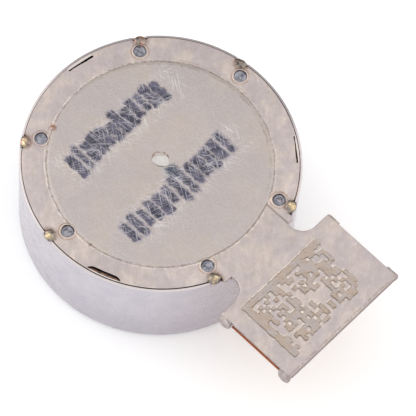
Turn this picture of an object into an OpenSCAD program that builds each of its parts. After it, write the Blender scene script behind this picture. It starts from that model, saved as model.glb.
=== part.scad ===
// Flat round vibration motor: a can with a sprung magnet and weight, and a contact tab.
// Origin at the centre of the can's closed face, +Z towards the base plate, +X along the tab.

/* [Can] */
// Outer diameter of the can
can_d = 10; // [9.9:0.1:10.6]
// Height of the can from its closed face to its rim
can_h = 4.1; // [4:0.05:4.6]
// Thickness of the can's wall and floor
can_wall = 0.2; // [0.15:0.01:0.22]
// Thickness of the lip that stands around the base plate
lip_t = 0.08; // [0.07:0.01:0.12]
// Outer rounding of the closed end
can_round = 0.25; // [0.1:0.05:0.3]

/* [Base plate] */
// Thickness of the base plate's sheet
plate_t = 0.2; // [0.18:0.01:0.24]
// Gap between the base plate and the can's lip
plate_gap = 0.03; // [0.02:0.01:0.05]
// Diameter of the coined disc in the middle
disc_d = 8.06; // [7.8:0.02:8.2]
// Height of the coined disc above the ring around it
disc_rise = 0.03; // [0.01:0.01:0.04]
// Diameter of the hole in the middle
centre_hole_d = 0.4; // [0.3:0.05:0.6]
// Half angles of the spot welds that hold the spring, from +X
spring_weld_angles = [24.4, 95, 145.3];
// Radius of the circle of spring welds
spring_weld_r = 4.35; // [4.25:0.05:4.45]
// Diameter of one spring weld
spring_weld_d = 0.5; // [0.4:0.05:0.55]
// Half angles of the welds that hold the base plate in the can, from +X
rim_weld_angles = [23.6, 98.5, 143.5];
// Diameter of one rim weld
rim_weld_d = 0.46; // [0.36:0.02:0.5]

/* [Tab] */
// Distance from the can's axis to the tab's end
tab_reach = 8.87; // [8.5:0.01:9.4]
// Distance from the can's axis to the start of the tab's wide head
head_start = 5.55; // [5.5:0.01:5.7]
// Width of the head
head_w = 5.36; // [5:0.02:5.6]
// Width of the neck
neck_w = 2.84; // [2.6:0.02:2.9]
// Radius of the inside corners between neck and head
neck_round = 0.6; // [0.3:0.05:0.7]
// Height of the tab's face above the ring
tab_rise = 0.06; // [0.04:0.01:0.08]
// Length of one bent ear along the head's side
ear_w = 0.5; // [0.4:0.05:0.6]
// Drop of the ears below the tab's face
ear_drop = 0.6; // [0.5:0.05:0.8]
// Thickness of the flexible circuit
flex_t = 0.1; // [0.08:0.01:0.12]
// Thickness of the gold contact pads
pad_t = 0.04; // [0.02:0.01:0.05]

/* [Vibrator] */
// Travel of the vibrator each way from rest
stroke = 0.55; // [0.3:0.05:0.55]
// Air left beyond the travel
air = 0.1; // [0.08:0.01:0.12]
// Outer diameter of the weight
weight_d = 9; // [8.6:0.1:9.1]
// Height of the weight and of the yoke cup
weight_h = 1.7; // [1.4:0.05:1.75]
// Outer diameter of the yoke cup
yoke_d = 5.7; // [5.5:0.1:5.8]
// Thickness of the yoke cup's wall
yoke_wall = 0.2; // [0.15:0.01:0.22]
// Diameter of the magnet
magnet_d = 2.7; // [2.4:0.1:2.8]
// Height of the magnet
magnet_h = 1.15; // [0.9:0.05:1.2]
// Height of the pole plate on the magnet
pole_h = 0.3; // [0.2:0.05:0.35]
// Thickness of the damper ring on the can's floor
damper_t = 0.2; // [0.1:0.05:0.25]

/* [Coil and spring] */
// Inner diameter of the coil
coil_inner_d = 3.2; // [3.1:0.05:3.3]
// Outer diameter of the coil
coil_outer_d = 4.7; // [4.5:0.05:4.8]
// Thickness of the spring's sheet
spring_t = 0.1; // [0.08:0.01:0.12]
// Width of one spring arm
arm_w = 0.5; // [0.4:0.05:0.55]
// Angle that one spring arm sweeps
arm_sweep = 100; // [90:5:105]

/* [Hidden] */
$fn = 96;

// A small length that makes a cut pass right through a face
cut = 0.1;

// Base plate and lip
can_r = can_d / 2;
lip_r = can_r - lip_t;
plate_r = lip_r - plate_gap;
plate_z = can_h - plate_t;
through = plate_t + 2 * cut;
stake_l = 1.1;
stake_w = 0.08;
stake_edge = 0.095;
stake_r = plate_r - stake_edge;
stake_start = 50;
seal_rise = 0.01;
spring_weld_sink = 0.1;
rim_weld_r = can_r - 0.1;
rim_weld_sink = 0.05;

// Tab
tab_z = plate_z + tab_rise;
neck_start = 3.8;
window_w = neck_w + 2 * plate_gap;
shoulder_w = neck_w + 0.62;
shoulder_reach = can_r - 0.18;
ear_t = 0.15;
ear_inset = 0.03;
code_start = 5.9;
code_end = 8.46;
code_low = -2.06;
code_high = 1.68;
channel_w = 0.25;
channel_depth = 0.05;

// Flexible circuit, its glue and its pads
flex_z = plate_z - flex_t;
flex_neck_w = 2.5;
flex_disc_d = 5.2;
flex_edge = 0.01;
flex_end = tab_reach - 0.07;
flex_notch = 0.13;
ear_gap = 0.03;
flex_glue_edge = 0.14;
pad_start = 6.3;
pad_end = 8.3;
pad_w = 1.9;
pad_gap = 0.6;

// Vibrator, from the damper on the can's floor upwards
weight_z = can_wall + damper_t + air + stroke;
weight_top = weight_z + weight_h;
yoke_floor_t = 0.15;
magnet_z = weight_z + yoke_floor_t;
glue_gap = 0.01;
weight_chamfer = 0.12;
damper_inner_d = 6.4;
damper_outer_d = 8.4;

// Coil, from the flexible circuit downwards
coil_glue_t = 0.03;
coil_glue_edge = 0.05;
coil_top = flex_z - coil_glue_t;
coil_bottom = magnet_z + stroke + air;
lead_d = 0.06;
lead_drop = 0.04;
solder_x = 3.6;
solder_y = 0.55;
solder_r = 0.22;
solder_drop = 0.18;
stop_d = 2.2;
stop_t = 0.3;

// Spring: an open outer ring on the base plate and an inner ring on the vibrator
spring_outer_r = 4.72;
spring_edge_r = 4;
spring_hub_outer_r = 3.15;
spring_hub_inner_r = 2.58;
spring_gap_w = 2.7;
arm_start = 38;
arm_steps = 36;
arm_skin = 0.005;
arm_r = [4.15, 2.88];
arm_z = [plate_z - spring_t / 2, weight_top + spring_t / 2];
mass_weld_d = 0.24;
mass_weld_h = 0.03;
mass_weld_r = 2.95;
mass_weld_angles = [8, 128, 248];

// Two shapes, one at each side of the XZ plane
module both_sides() {
    children();
    mirror([0, 1, 0]) children();
}

// A child moved out to radius r at each angle and at each mirrored angle
module on_circle(angles, r) {
    both_sides() for (a = angles) rotate(a) translate([r, 0, 0]) children();
}

module tube(outer_r, inner_r, height) {
    difference() {
        cylinder(r = outer_r, h = height);
        translate([0, 0, -cut]) cylinder(r = inner_r, h = height + 2 * cut);
    }
}

module can_profile() {
    difference() {
        union() {
            square([can_r - can_round, can_round]);
            translate([can_r - can_round, can_round]) circle(can_round);
            translate([0, can_round]) square([can_r, can_h - can_round]);
        }
        translate([-cut, can_wall]) square([can_r - can_wall + cut, can_h]);
        translate([-cut, plate_z]) square([lip_r + cut, can_h]);
    }
}

module can() {
    color([0.8, 0.79, 0.83]) difference() {
        rotate_extrude() can_profile();
        translate([0, -window_w / 2, flex_z - cut / 2]) cube([can_d, window_w, can_h]);
        translate([0, -shoulder_w / 2 - plate_gap, plate_z]) cube([can_d, shoulder_w + 2 * plate_gap, can_h]);
        on_circle(rim_weld_angles, rim_weld_r)
            translate([0, 0, plate_z]) cylinder(d = rim_weld_d, h = can_h);
    }
}

// Outline of the neck and head, with round inside corners
module tab_outline() {
    translate([neck_start, -neck_w / 2]) square([head_start - neck_start + cut, neck_w]);
    translate([head_start, -head_w / 2]) square([tab_reach - head_start, head_w]);
    both_sides() difference() {
        translate([head_start - neck_round, 0]) square([neck_round + cut, neck_w / 2 + neck_round]);
        translate([head_start - neck_round, neck_w / 2 + neck_round]) circle(neck_round);
    }
}

module ear() {
    side = head_w / 2 - ear_inset;
    translate([ear_w / 2, side + ear_t, 0]) rotate([90, 0, 0]) linear_extrude(ear_t) {
        translate([-ear_w / 2, tab_z + plate_t - ear_drop + ear_w / 2])
            square([ear_w, ear_drop - ear_w / 2]);
        translate([0, tab_z + plate_t - ear_drop + ear_w / 2]) circle(ear_w / 2);
    }
}

module ears() {
    both_sides() {
        translate([head_start, 0, 0]) ear();
        translate([tab_reach - ear_w, 0, 0]) ear();
    }
}

// Two channels that frame the tab's marked field
module field_channels() {
    translate([0, 0, tab_z + plate_t - channel_depth]) {
        translate([code_start, code_low, 0]) cube([channel_w, code_high - code_low, cut]);
        translate([code_start, code_low, 0]) cube([code_end - code_start, channel_w, cut]);
    }
}

module base_plate() {
    color([0.8, 0.76, 0.74]) difference() {
        union() {
            translate([0, 0, plate_z]) cylinder(r = plate_r, h = plate_t);
            translate([0, -shoulder_w / 2, plate_z]) cube([shoulder_reach, shoulder_w, plate_t]);
            translate([0, 0, can_h - cut]) cylinder(d = disc_d, h = cut + disc_rise);
            difference() {
                translate([0, 0, tab_z]) linear_extrude(plate_t) tab_outline();
                translate([0, 0, can_h + disc_rise]) cylinder(d = disc_d, h = tab_rise);
            }
            ears();
        }
        translate([neck_start, -neck_w / 2, plate_z - cut]) cube([can_r, neck_w, cut + tab_rise]);
        for (k = [0:2]) rotate(stake_start + 120 * k)
            translate([stake_r - stake_w, -stake_l / 2, plate_z - cut]) cube([stake_w, stake_l, through]);
        on_circle(spring_weld_angles, spring_weld_r)
            translate([0, 0, plate_z - cut]) cylinder(d = spring_weld_d, h = through);
        on_circle(rim_weld_angles, rim_weld_r)
            translate([0, 0, plate_z - cut]) cylinder(d = rim_weld_d, h = through);
        translate([0, 0, plate_z - cut]) cylinder(d = centre_hole_d, h = through);
        field_channels();
    }
}

module centre_seal() {
    color([0.9, 0.9, 0.86])
        translate([0, 0, plate_z]) cylinder(d = centre_hole_d, h = plate_t + disc_rise + seal_rise);
}

module rim_welds() {
    color([0.83, 0.7, 0.45]) translate([0, 0, plate_z]) intersection() {
        on_circle(rim_weld_angles, rim_weld_r) cylinder(d = rim_weld_d, h = plate_t - rim_weld_sink);
        cylinder(r = can_r, h = plate_t);
    }
}

module spring_welds() {
    color([0.5, 0.52, 0.56]) on_circle(spring_weld_angles, spring_weld_r)
        translate([0, 0, plate_z]) cylinder(d = spring_weld_d, h = plate_t - spring_weld_sink);
}

// Outline of the flexible circuit, notched at the four ears
module flex_outline() {
    half_w = head_w / 2 + flex_edge;
    circle(d = flex_disc_d);
    translate([0, -flex_neck_w / 2]) square([head_start + cut, flex_neck_w]);
    difference() {
        translate([head_start + flex_edge, -half_w])
            square([flex_end - head_start - flex_edge, 2 * half_w]);
        both_sides() {
            translate([head_start - cut, half_w - flex_notch]) square([ear_w + cut + ear_gap, half_w]);
            translate([tab_reach - ear_w - ear_gap, half_w - flex_notch]) square([ear_w, half_w]);
        }
    }
}

module flex_circuit() {
    color([0.8, 0.45, 0.2]) translate([0, 0, flex_z]) linear_extrude(flex_t) flex_outline();
}

module flex_adhesive() {
    color([0.85, 0.83, 0.7]) translate([0, 0, plate_z]) {
        translate([neck_start, -flex_neck_w / 2, 0])
            cube([head_start + flex_glue_edge - neck_start, flex_neck_w, tab_rise]);
        translate([head_start + flex_glue_edge, flex_glue_edge - head_w / 2, 0])
            cube([flex_end - head_start - 2 * flex_glue_edge, head_w - 2 * flex_glue_edge, tab_rise]);
    }
}

module contact_pads() {
    color([0.9, 0.75, 0.4]) both_sides()
        translate([pad_start, pad_gap / 2, flex_z - pad_t]) cube([pad_end - pad_start, pad_w, pad_t]);
}

module solder_joints() {
    color([0.75, 0.75, 0.77]) both_sides() translate([solder_x, solder_y, flex_z]) intersection() {
        translate([0, 0, solder_r - solder_drop]) sphere(solder_r);
        translate([-solder_r, -solder_r, -2 * solder_r]) cube(2 * solder_r);
    }
}

module coil_leads() {
    lead_start = coil_outer_d / 2 + glue_gap;
    color([0.75, 0.4, 0.2]) both_sides()
        translate([lead_start, solder_y, coil_top - lead_drop]) rotate([0, 90, 0])
            cylinder(d = lead_d, h = solder_x - lead_start);
}

module coil_adhesive() {
    color([0.9, 0.88, 0.75]) translate([0, 0, coil_top])
        tube(coil_outer_d / 2 + coil_glue_edge, coil_inner_d / 2 - coil_glue_edge, coil_glue_t);
}

module voice_coil() {
    color([0.72, 0.4, 0.22]) translate([0, 0, coil_bottom])
        tube(coil_outer_d / 2, coil_inner_d / 2, coil_top - coil_bottom);
}

// One dished arm, swept inwards and down from the outer ring to the inner one
module spring_arm() {
    function ease(t) = t * t * (3 - 2 * t);
    function corner(t, side, level) =
        let (
            r = arm_r[0] + (arm_r[1] - arm_r[0]) * ease(t) + side * arm_w / 2,
            z = arm_z[0] + (arm_z[1] - arm_z[0]) * ease(t) + level * (spring_t / 2 - arm_skin),
            a = arm_start + arm_sweep * t
        )
        [r * cos(a), r * sin(a), z];
    points = [
        for (i = [0:arm_steps], c = [[-1, -1], [1, -1], [1, 1], [-1, 1]])
            corner(i / arm_steps, c[0], c[1])
    ];
    sides = [
        for (i = [0:arm_steps - 1], k = [0:3])
            [4 * i + k, 4 * i + (k + 1) % 4, 4 * i + 4 + (k + 1) % 4, 4 * i + 4 + k]
    ];
    last = 4 * arm_steps;
    polyhedron(points, concat([[3, 2, 1, 0]], sides, [[last, last + 1, last + 2, last + 3]]));
}

module leaf_spring() {
    color([0.68, 0.68, 0.66]) {
        translate([0, 0, plate_z - spring_t]) difference() {
            tube(spring_outer_r, spring_edge_r, spring_t);
            translate([0, -spring_gap_w / 2, -cut]) cube([can_r, spring_gap_w, through]);
        }
        translate([0, 0, weight_top]) tube(spring_hub_outer_r, spring_hub_inner_r, spring_t);
        for (k = [0:2]) rotate(120 * k) spring_arm();
    }
}

module upper_damper() {
    color([0.25, 0.25, 0.27]) translate([0, 0, flex_z - stop_t]) cylinder(d = stop_d, h = stop_t);
}

module lower_damper() {
    color([0.25, 0.25, 0.27]) translate([0, 0, can_wall])
        tube(damper_outer_d / 2, damper_inner_d / 2, damper_t);
}

module yoke_cup() {
    color([0.7, 0.7, 0.72]) translate([0, 0, weight_z]) difference() {
        cylinder(d = yoke_d, h = weight_h);
        translate([0, 0, yoke_floor_t]) cylinder(d = yoke_d - 2 * yoke_wall, h = weight_h);
    }
}

module magnet() {
    color([0.62, 0.62, 0.65]) translate([0, 0, magnet_z]) cylinder(d = magnet_d, h = magnet_h);
}

module pole_plate() {
    color([0.75, 0.75, 0.76]) translate([0, 0, magnet_z + magnet_h]) cylinder(d = magnet_d, h = pole_h);
}

// The weight's section, with its outer corners cut off
module weight_profile() {
    inner = yoke_d / 2 + glue_gap;
    outer = weight_d / 2;
    c = weight_chamfer;
    polygon([
        [inner, 0], [outer - c, 0], [outer, c],
        [outer, weight_h - c], [outer - c, weight_h], [inner, weight_h]
    ]);
}

module weight() {
    color([0.42, 0.42, 0.43]) translate([0, 0, weight_z]) rotate_extrude() weight_profile();
}

module mass_welds() {
    color([0.55, 0.55, 0.58]) for (a = mass_weld_angles)
        rotate(a) translate([mass_weld_r, 0, weight_top + spring_t])
            cylinder(d = mass_weld_d, h = mass_weld_h);
}

can();
base_plate();
centre_seal();
rim_welds();
spring_welds();
flex_circuit();
flex_adhesive();
contact_pads();
solder_joints();
coil_leads();
coil_adhesive();
voice_coil();
leaf_spring();
upper_damper();
lower_damper();
yoke_cup();
magnet();
pole_plate();
weight();
mass_welds();
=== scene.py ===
"""The looks of a flat round vibration motor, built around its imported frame.

Lengths are in millimetres until a mesh is made. A shape is a pair: its points, and its faces by point.
"""

import math

import bpy
import numpy as np
from mathutils import Matrix, Vector, geometry


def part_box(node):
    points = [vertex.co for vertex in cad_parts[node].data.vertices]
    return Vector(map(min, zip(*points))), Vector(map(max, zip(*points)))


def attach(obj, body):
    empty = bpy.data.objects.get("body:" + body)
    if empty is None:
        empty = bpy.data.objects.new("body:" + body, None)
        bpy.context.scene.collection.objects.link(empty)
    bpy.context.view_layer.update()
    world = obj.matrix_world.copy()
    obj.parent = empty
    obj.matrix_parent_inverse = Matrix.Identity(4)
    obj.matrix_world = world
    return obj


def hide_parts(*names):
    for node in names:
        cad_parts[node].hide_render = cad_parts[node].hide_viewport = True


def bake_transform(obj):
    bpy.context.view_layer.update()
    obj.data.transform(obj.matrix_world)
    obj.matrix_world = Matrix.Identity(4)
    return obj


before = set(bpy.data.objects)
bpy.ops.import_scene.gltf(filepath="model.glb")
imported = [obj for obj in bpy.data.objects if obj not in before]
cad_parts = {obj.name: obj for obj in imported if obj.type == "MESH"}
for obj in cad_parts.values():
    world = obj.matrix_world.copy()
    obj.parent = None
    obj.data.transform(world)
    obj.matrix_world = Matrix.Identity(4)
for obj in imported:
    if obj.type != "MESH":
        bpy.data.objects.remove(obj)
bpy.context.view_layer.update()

MM = 0.001
TAU = 2 * math.pi


def low(node):
    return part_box(node)[0] / MM


def high(node):
    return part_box(node)[1] / MM


def span(node):
    """The lowest and the highest z of a CAD node."""
    return low(node).z, high(node).z


# Can and base plate
CAN_R = high("can").x
CAN_WALL = 0.2
LIP_T = 0.08
RIM_Z = high("can").z
PLATE_Z = low("centre_seal").z
PLATE_R = CAN_R - LIP_T - 0.02
PLATE_SHIFT = 0.012
PLATE_SHIFT_ANGLE = 160
RING_BORE = 3.72
DISC_SEAT = 3.74
DISC_R = 4.03
DISC_SHIFT = (0.03, -0.05)
DISC_Z = RIM_Z + 0.03
SEAL_HOLE_R = 0.2
SHOULDER_HALF = 1.79
SHOULDER_X = 4.8

# Welds, and the slots as (angle, distance from the axis, width, half length)
SPRING_WELD_ANGLES = (24.4, -24.4, 95, -95, 145.3, -145.3)
SPRING_WELD_R = 4.35
SPRING_WELD_HOLE_R = 0.257
SPRING_SHIFT = 0.08
RIM_WELD_ANGLES = (24.3, -22.9, 98.5, -98.5, 143.5, -143.5)
RIM_WELD_R = CAN_R - 0.1
NOTCH_R = 0.23
STAKES = ((51, 4.795, 0.05, 0.54), (171.5, 4.76, 0.065, 0.54), (290.2, 4.778, 0.153, 0.64))

# Tab
TAB_Z = high("base_plate").z
TAB_T = 0.2
TAB_LOW = TAB_Z - TAB_T
TAB_END = high("base_plate").x
TAB_FLARE = 0.03
HEAD_START = 5.55
HEAD_HALF = 2.68
NECK_HALF = 1.42
NECK_ROUND = 0.6
EAR_W = 0.5
EAR_T = 0.15
EAR_OUT = 2.8
EAR_LOW = low("base_plate").z
FIELD = (5.82, -2.14, 8.54, 1.76)

# Circuit, coil, spring and vibrator
FLEX_LOW, FLEX_TOP = span("flex_circuit")
COVER_TOP = FLEX_LOW + 0.034
PAD_LOW = low("contact_pads").z
PAD_X = (6.3, 8.3)
PAD_Y = ((0.3, 2.2), (-2.2, -0.3))
PAD_ROUND = 0.12
COIL_R = high("voice_coil").x
COIL_HOLE_R = 1.6
WIRE = 0.075
JOINT_X = 3.6
JOINT_Y = 0.55
SPRING_LOW, SPRING_TOP = span("leaf_spring")
SPRING_T = 0.1
SPRING_OUTER = (4.0, 4.72)
SPRING_INNER = (2.58, 3.15)
SPRING_ARM = (4.15, 2.88)
SPRING_ARM_HALF = 0.25
SPRING_ARM_START = 38
SPRING_ARM_TURN = 100
MAGNET_R = 1.35
STOP_R = 1.1
CUSHION = (3.2, 4.2)
WEIGHT = (2.86, 4.5)


# Mesh tools


def joined(shapes):
    """One shape made of several."""
    points, faces, count = [], [], 0
    for some_points, some_faces in shapes:
        points.append(some_points)
        faces += [tuple(count + i for i in face) for face in some_faces]
        count += len(some_points)
    return np.vstack(points), faces


def weigh_normals(obj):
    """Smooth shading in which a face pulls on its corners by its area, with sharp edges kept sharp."""
    obj.data.polygons.foreach_set("use_smooth", np.ones(len(obj.data.polygons), bool))
    obj.data.set_sharp_from_angle(angle=math.radians(50))
    weigh = obj.modifiers.new("weigh", "WEIGHTED_NORMAL")
    weigh.mode = "FACE_AREA"
    weigh.weight = 50
    weigh.keep_sharp = True
    bpy.context.view_layer.update()
    plain = obj.data
    obj.data = bpy.data.meshes.new_from_object(obj.evaluated_get(bpy.context.evaluated_depsgraph_get()))
    obj.modifiers.clear()
    bpy.data.meshes.remove(plain)


def piece(name, node, material, shapes, body="stator"):
    """One visible piece, which stands for a CAD node and rides on a body."""
    points, faces = joined(shapes)
    mesh = bpy.data.meshes.new(name)
    mesh.from_pydata((points * MM).tolist(), [], faces)
    mesh.update()
    mesh.materials.append(material)
    obj = bpy.data.objects.new(name, mesh)
    bpy.context.scene.collection.objects.link(obj)
    weigh_normals(obj)
    if body:
        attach(obj, body)
    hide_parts(node)
    return obj


def hoops(count, n, start=0, closed=False):
    """Faces between neighbours of count rings, each of n points. If closed, the last ring meets the first."""
    faces = []
    for i in range(count if closed else count - 1):
        a, b = start + i * n, start + (i + 1) % count * n
        faces += [(a + j, a + (j + 1) % n, b + (j + 1) % n, b + j) for j in range(n)]
    return faces


def fans(count, n):
    """Faces that close count rings of n points with two end points, which come after the rings."""
    first, last, end = count * n, count * n + 1, (count - 1) * n
    faces = [(first, (j + 1) % n, j) for j in range(n)]
    return faces + [(last, end + j, end + (j + 1) % n) for j in range(n)]


def tube(rings):
    """A solid through rings of points, with a flat face at each end."""
    n, count = len(rings[0]), len(rings)
    ends = [tuple(range(n))[::-1], tuple(range((count - 1) * n, count * n))]
    return np.vstack(rings), hoops(count, n) + ends


def polar(radius, turn):
    """Points at these radii and these angles in radians."""
    return np.column_stack([radius * np.cos(turn), radius * np.sin(turn)])


def cylinder(points):
    """The distance of each point from the axis, and its angle in radians."""
    return np.hypot(points[:, 0], points[:, 1]), np.arctan2(points[:, 1], points[:, 0])


def raised(base, *profile, out=0.0):
    """Points of a profile given by their height over base, and their distance beyond out."""
    return [(out + r, base + z) for r, z in profile]


def arc(centre, radius, start, end, steps):
    """Points on an arc, with angles in degrees and both ends included."""
    return np.add(centre, polar(radius, np.radians(np.linspace(start, end, steps + 1))))


def circle(radius, steps, clockwise=False):
    """A closed loop, which doesn't repeat its first point."""
    loop = arc((0, 0), radius, 0, 360, steps)[:-1]
    return loop[::-1] if clockwise else loop


def block(x0, y0, x1, y1, corner):
    """An anticlockwise rectangle with round corners of six points each."""
    x, y = (x0 + corner, x1 - corner), (y0 + corner, y1 - corner)
    centres = ((x[1], y[0]), (x[1], y[1]), (x[0], y[1]), (x[0], y[0]))
    return np.vstack([arc(c, corner, 90 * i - 90, 90 * i, 5) for i, c in enumerate(centres)])


def spin(profile, steps, closed=False):
    """A solid of revolution about Z. An open profile runs from the axis back to the axis."""
    profile = np.asarray(profile, float)
    turn = np.arange(steps) * TAU / steps
    inner = profile if closed else profile[1:-1]
    points = [np.column_stack([polar(r, turn), np.full(steps, z)]) for r, z in inner]
    faces = hoops(len(inner), steps, closed=closed)
    if not closed:
        points.append([(0, 0, profile[0, 1]), (0, 0, profile[-1, 1])])
        faces += fans(len(inner), steps)
    return np.vstack(points), faces


def washer(radii, bottom, top, edge, steps=128):
    """A ring with rounded edges, between two radii."""
    return spin(block(radii[0], bottom, radii[1], top, edge), steps, closed=True)


def puck(radius, bottom, top, edge, steps=128):
    """A disc with rounded edges."""
    outer_corners = block(0, bottom, radius, top, edge)[:12]
    return spin([(0, bottom), *outer_corners, (0, top)], steps)


def turned(points, angle):
    """The points turned about Z by angle degrees."""
    a = math.radians(angle)
    x, y = points[:, 0], points[:, 1]
    flat = [x * math.cos(a) - y * math.sin(a), x * math.sin(a) + y * math.cos(a)]
    return np.column_stack([*flat, *points.T[2:]])


def place(shape, at=(0, 0, 0), turn=0.0):
    """The shape moved to at, and then turned about Z by turn degrees."""
    points, faces = shape
    return turned(points + np.asarray(at, float), turn), faces


def unit(rows):
    """Each row scaled to a length of 1."""
    return rows / np.linalg.norm(rows, axis=1, keepdims=True)


def inset(loop, distance):
    """The loop moved to its left by distance, corner by corner."""
    step = unit(np.roll(loop, -1, 0) - loop)
    left = np.column_stack([-step[:, 1], step[:, 0]])
    middle = unit(left + np.roll(left, 1, 0))
    reach = np.clip(np.sum(middle * left, 1), 0.6, 1)
    return loop + middle * (distance / reach)[:, None]


def inside_loops(spots, flat, edges):
    """Which of the spots lie inside an odd number of the loops that the edges draw."""
    e = np.asarray(edges)
    p, q = flat[e[:, 0]], flat[e[:, 1]]
    slope = (q[:, 0] - p[:, 0]) / np.where(q[:, 1] == p[:, 1], 1e-12, q[:, 1] - p[:, 1])
    inside = np.zeros(len(spots), bool)
    for start in range(0, len(spots), 500):
        x, y = spots[start : start + 500, 0:1], spots[start : start + 500, 1:2]
        crosses = ((p[:, 1] > y) != (q[:, 1] > y)) & (p[:, 0] + (y - p[:, 1]) * slope > x)
        inside[start : start + 500] = np.count_nonzero(crosses, 1) % 2 == 1
    return inside


def cap(points, rings, up):
    """Triangles that fill the area between rings, each given as its first point and its count."""
    index = [start + j for start, n in rings for j in range(n)]
    flat = points[index][:, :2]
    edges, count = [], 0
    for _, n in rings:
        edges += [(count + j, count + (j + 1) % n) for j in range(n)]
        count += n
    found = geometry.delaunay_2d_cdt([Vector(p) for p in flat], edges, [], 0, 1e-7)
    first = np.array([v[0] for v in found[3]])
    triangles = first[np.array(found[2])]
    triangles = triangles[inside_loops(flat[triangles].mean(1), flat, edges)]
    a, b, c = (flat[triangles[:, k]] for k in range(3))
    wrong = (np.cross(b - a, c - a) > 0) != up
    triangles[wrong] = triangles[wrong][:, ::-1]
    return [tuple(t) for t in np.array(index)[triangles].tolist()]


def sheet(outer, holes, bottom, top, edge, steps=3, hole_edge=0.0):
    """A plate with rounded edges. The outer loop runs anticlockwise, and each hole clockwise."""
    points, faces, tops, bottoms, count = [], [], [], [], 0
    for loop, radius in [(outer, edge)] + [(hole, hole_edge) for hole in holes]:
        levels = [
            (radius * (1 - math.cos(t)), top - radius * (1 - math.sin(t)))
            for t in np.linspace(0, math.pi / 2, steps + 1)
        ]
        levels = [(i, bottom + top - z) for i, z in reversed(levels)] + levels
        n = len(loop)
        for distance, z in levels:
            ring = inset(loop, distance) if distance > 0 else loop
            points.append(np.column_stack([ring, np.full(n, z)]))
        faces += hoops(len(levels), n, count)
        bottoms.append((count, n))
        tops.append((count + (len(levels) - 1) * n, n))
        count += len(levels) * n
    points = np.vstack(points)
    return points, faces + cap(points, tops, True) + cap(points, bottoms, False)


def sweep(path, half_widths, sideways, upwards, thickness, edge):
    """A flat strip along a path. Each row has its own half width, sideways and upwards directions."""
    corner = np.linspace(0, math.pi / 2, 4)
    sides = ((1, 1, corner), (-1, 1, corner[::-1]), (-1, -1, corner), (1, -1, corner[::-1]))
    rows = []
    for p, w, side, up in zip(path, half_widths, sideways, upwards):
        e = min(edge, w)
        rows.append(
            [
                p + side * sx * (w - e + e * math.cos(t)) + up * sy * (thickness / 2 - e + e * math.sin(t))
                for sx, sy, turn in sides
                for t in turn
            ]
        )
    return tube(rows)


def rod(start, end, radius, steps=16):
    """A thin round wire along X from start to end, with a slight sag."""
    t = np.linspace(0, 1, 14)
    path = np.array(start, float) + np.subtract(end, start) * t[:, None]
    path[:, 2] -= 0.02 * np.sin(math.pi * t)
    ring = np.column_stack([np.zeros(steps), polar(radius, np.arange(steps) * TAU / steps)])
    return tube([p + ring for p in path])


def soft_noise(shape, cells, seed):
    """Smooth random heights from -1 to 1 on a grid, about cells bumps along each side."""
    rng = np.random.RandomState(seed)
    coarse = rng.uniform(-1, 1, (cells[0] + 2, cells[1] + 2))
    u = np.linspace(0, cells[0], shape[0])
    v = np.linspace(0, cells[1], shape[1])
    i, j = np.minimum(u.astype(int), cells[0]), np.minimum(v.astype(int), cells[1])
    fu, fv = u - i, v - j
    fu, fv = (fu * fu * (3 - 2 * fu))[:, None], (fv * fv * (3 - 2 * fv))[None, :]
    a = coarse[np.ix_(i, j)] * (1 - fv) + coarse[np.ix_(i, j + 1)] * fv
    b = coarse[np.ix_(i + 1, j)] * (1 - fv) + coarse[np.ix_(i + 1, j + 1)] * fv
    return a * (1 - fu) + b * fu


def bell(width, reach):
    """Weights of a Gaussian blur, with its width and its reach in cells."""
    kernel = np.exp(-0.5 * (np.arange(-reach, reach + 1) / width) ** 2)
    return kernel / kernel.sum()


def blur(field, width):
    """The field blurred along both axes."""
    reach = int(3 * width) + 1
    kernel = bell(width, reach)
    for axis in (0, 1):
        pad = [(reach, reach) if k == axis else (0, 0) for k in (0, 1)]
        padded = np.pad(field, pad, mode="edge")
        field = np.apply_along_axis(np.convolve, axis, padded, kernel, "valid")
    return field


def from_angle(turn, angle):
    """How far the angles in turn, in radians, are past angle, in degrees, by the shorter way."""
    return (turn - math.radians(angle) + math.pi) % TAU - math.pi


def weld_centre(angle):
    """Where the spring weld at this angle stands, which is a little off the plate's centre."""
    a = math.radians(angle)
    return np.array([SPRING_WELD_R * math.cos(a), SPRING_WELD_R * math.sin(a) + SPRING_SHIFT])


def at_weld(points, faces, angle):
    """The shape turned to face outwards at a spring weld."""
    points, faces = place((points, faces), (SPRING_WELD_R, 0, 0), angle)
    return points + (0, SPRING_SHIFT, 0), faces


def clear_welds(points, reach=0.282):
    """The points moved out of the round holes of the spring welds."""
    for a in SPRING_WELD_ANGLES:
        away = points[:, :2] - weld_centre(a)
        far = np.hypot(away[:, 0], away[:, 1])
        near = far < reach
        points[near, :2] += away[near] * (reach / far[near] - 1)[:, None]
    return points


# Material tools

FLAT = (1, 1, 0)


class Number:
    """A number that nodes work out, written in formulas like a plain one."""

    def __init__(self, graph, socket):
        self.graph = graph
        self.socket = socket

    def __add__(self, other):
        return self.graph.math("ADD", self, other)

    def __sub__(self, other):
        return self.graph.math("SUBTRACT", self, other)

    def __rsub__(self, other):
        return self.graph.math("SUBTRACT", other, self)

    def __mul__(self, other):
        return self.graph.math("MULTIPLY", self, other)

    def __abs__(self):
        return self.graph.math("ABSOLUTE", self)

    def fade(self, start, end, low_value=0.0, high_value=1.0):
        """A smooth step from low_value to high_value as the number goes from start to end."""
        ends = {"From Min": start, "From Max": end, "To Min": low_value, "To Max": high_value}
        made = self.graph.node("ShaderNodeMapRange", {"Value": self, **ends}, interpolation_type="SMOOTHSTEP")
        return Number(self.graph, made.outputs["Result"])


def most(first, *others):
    """The largest of the numbers."""
    for other in others:
        first = first.graph.math("MAXIMUM", first, other)
    return first


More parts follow.
